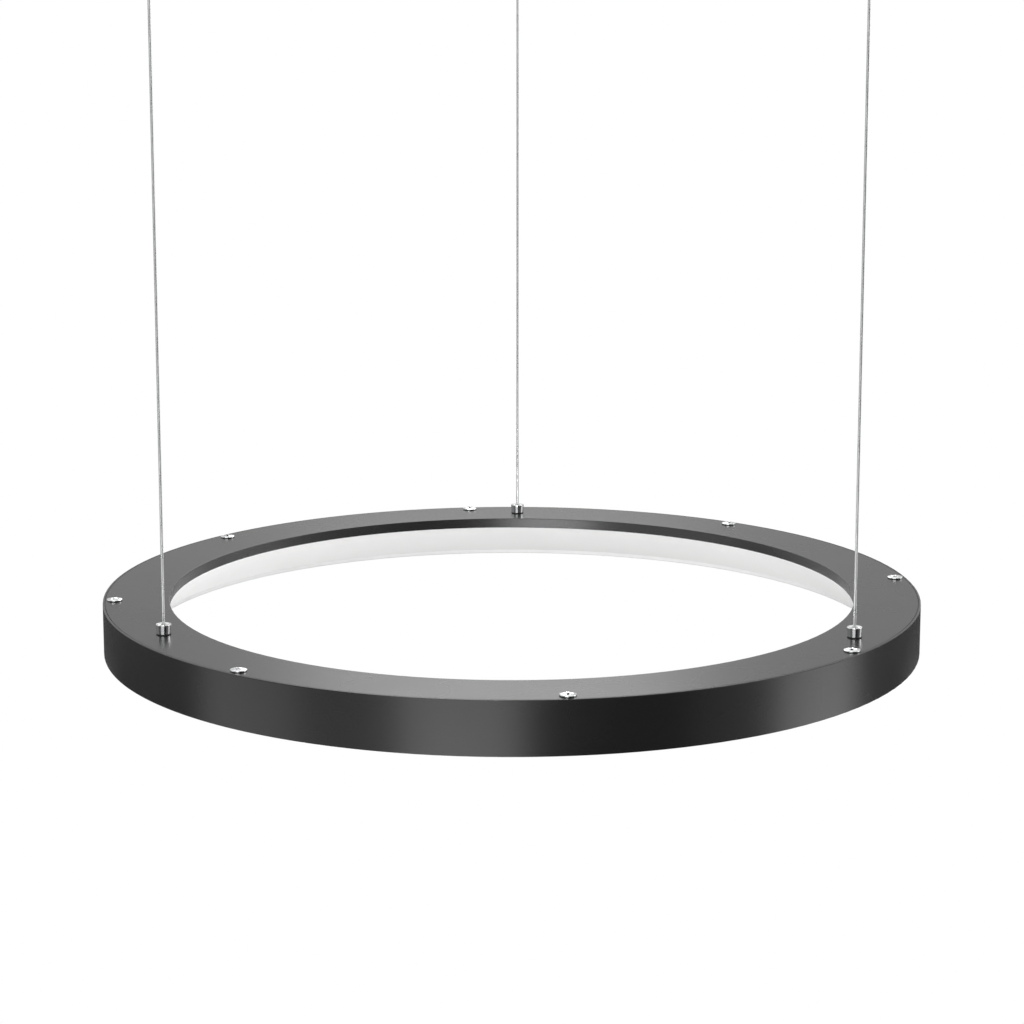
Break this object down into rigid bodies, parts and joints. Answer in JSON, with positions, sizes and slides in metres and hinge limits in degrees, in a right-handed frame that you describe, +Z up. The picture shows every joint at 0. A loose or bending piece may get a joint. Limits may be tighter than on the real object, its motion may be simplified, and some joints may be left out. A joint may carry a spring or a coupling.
{
  "type": "ring pendant light",
  "caption": "Flat black ring pendant light with a sloping opal diffuser inside the ring, hung level on steel ropes with rope grippers that set its height.",
  "frame": {"origin": "on the ceiling, at the centre of the circle of the three ceiling screws", "axes": "+Z up, square to the ceiling; the ring hangs below the origin; +Y points to the first rope"},
  "size_m": [0.5999, 0.6, 0.4973],
  "materials": {
    "satin_black_aluminium": "satin black anodised",
    "opal_acrylic": "opal, smooth",
    "polished_chrome": "polished",
    "plunger_nickel": "nickel plated, polished",
    "steel_rope": "bright stranded",
    "zinc_plated_steel": "zinc plated",
    "spring_steel": "bright drawn",
    "black_nylon": "matte",
    "tinned_brass": "tinned",
    "white_strip": "solder mask",
    "led_phosphor": "silicone",
    "white_nylon": "moulded",
    "green_terminal_block": "moulded",
    "green_circuit_board": "solder mask",
    "transformer_black": "tape wound",
    "capacitor_sleeve": "shrink sleeve",
    "foam_pad": "foam",
    "red_insulation": "smooth",
    "black_insulation": "smooth"
  },
  "bodies": {
    "ceiling": {"ceiling_base_1": "zinc_plated_steel", "ceiling_base_2": "zinc_plated_steel", "ceiling_base_3": "zinc_plated_steel", "ceiling_cup_1": "polished_chrome", "ceiling_cup_2": "polished_chrome", "ceiling_cup_3": "polished_chrome", "rope_ferrule_1": "zinc_plated_steel", "rope_ferrule_2": "zinc_plated_steel", "rope_ferrule_3": "zinc_plated_steel", "suspension_rope_1": "steel_rope", "suspension_rope_2": "steel_rope", "suspension_rope_3": "steel_rope"},
    "ring": {"housing_ring": "satin_black_aluminium", "top_cover": "satin_black_aluminium", "inner_diffuser": "opal_acrylic", "bottom_diffuser": "opal_acrylic", "cover_screws": "polished_chrome", "gripper_body_1": "polished_chrome", "gripper_body_2": "polished_chrome", "gripper_body_3": "polished_chrome", "gripper_nuts": "zinc_plated_steel", "plain_washer": "zinc_plated_steel", "gripper_plugs": "zinc_plated_steel", "gripper_spring_1": "spring_steel", "gripper_spring_2": "spring_steel", "gripper_spring_3": "spring_steel", "gripper_bushes": "black_nylon", "insulating_washers": "black_nylon", "ring_terminal_positive": "tinned_brass", "ring_terminal_negative": "tinned_brass", "led_strip_1": "white_strip", "led_strip_2": "white_strip", "led_strip_3": "white_strip", "led_strip_4": "white_strip", "led_chips_1": "led_phosphor", "led_chips_2": "led_phosphor", "led_chips_3": "led_phosphor", "led_chips_4": "led_phosphor", "strip_joiners": "white_nylon", "strip_connector": "white_nylon", "driver_case": "white_nylon", "driver_lid": "white_nylon", "driver_terminals": "green_terminal_block", "driver_board": "green_circuit_board", "driver_transformer": "transformer_black", "driver_capacitors": "capacitor_sleeve", "driver_pad": "foam_pad", "feed_lead_positive": "red_insulation", "strip_lead_positive": "red_insulation", "feed_lead_negative": "black_insulation", "strip_lead_negative": "black_insulation"},
    "plunger_1": {"gripper_plunger_1": "plunger_nickel", "gripper_balls_1": "spring_steel"},
    "plunger_2": {"gripper_plunger_2": "plunger_nickel", "gripper_balls_2": "spring_steel"},
    "plunger_3": {"gripper_plunger_3": "plunger_nickel", "gripper_balls_3": "spring_steel"}
  },
  "joints": [
    {"name": "ring_height", "type": "slide", "parent": "ceiling", "child": "ring", "axis": [0, 0, 1], "range_m": [0, 0.3], "deforming": ["suspension_rope_1", "suspension_rope_2", "suspension_rope_3"]},
    {"name": "plunger_press_1", "type": "slide", "parent": "ring", "child": "plunger_1", "axis": [0, 0, -1], "range_m": [0, 0.0014], "stiffness_N_per_m": 500, "springref_m": -0.002, "deforming": ["gripper_spring_1"]},
    {"name": "plunger_press_2", "type": "slide", "parent": "ring", "child": "plunger_2", "axis": [0, 0, -1], "range_m": [0, 0.0014], "stiffness_N_per_m": 500, "springref_m": -0.002, "deforming": ["gripper_spring_2"]},
    {"name": "plunger_press_3", "type": "slide", "parent": "ring", "child": "plunger_3", "axis": [0, 0, -1], "range_m": [0, 0.0014], "stiffness_N_per_m": 500, "springref_m": -0.002, "deforming": ["gripper_spring_3"]}
  ]
}
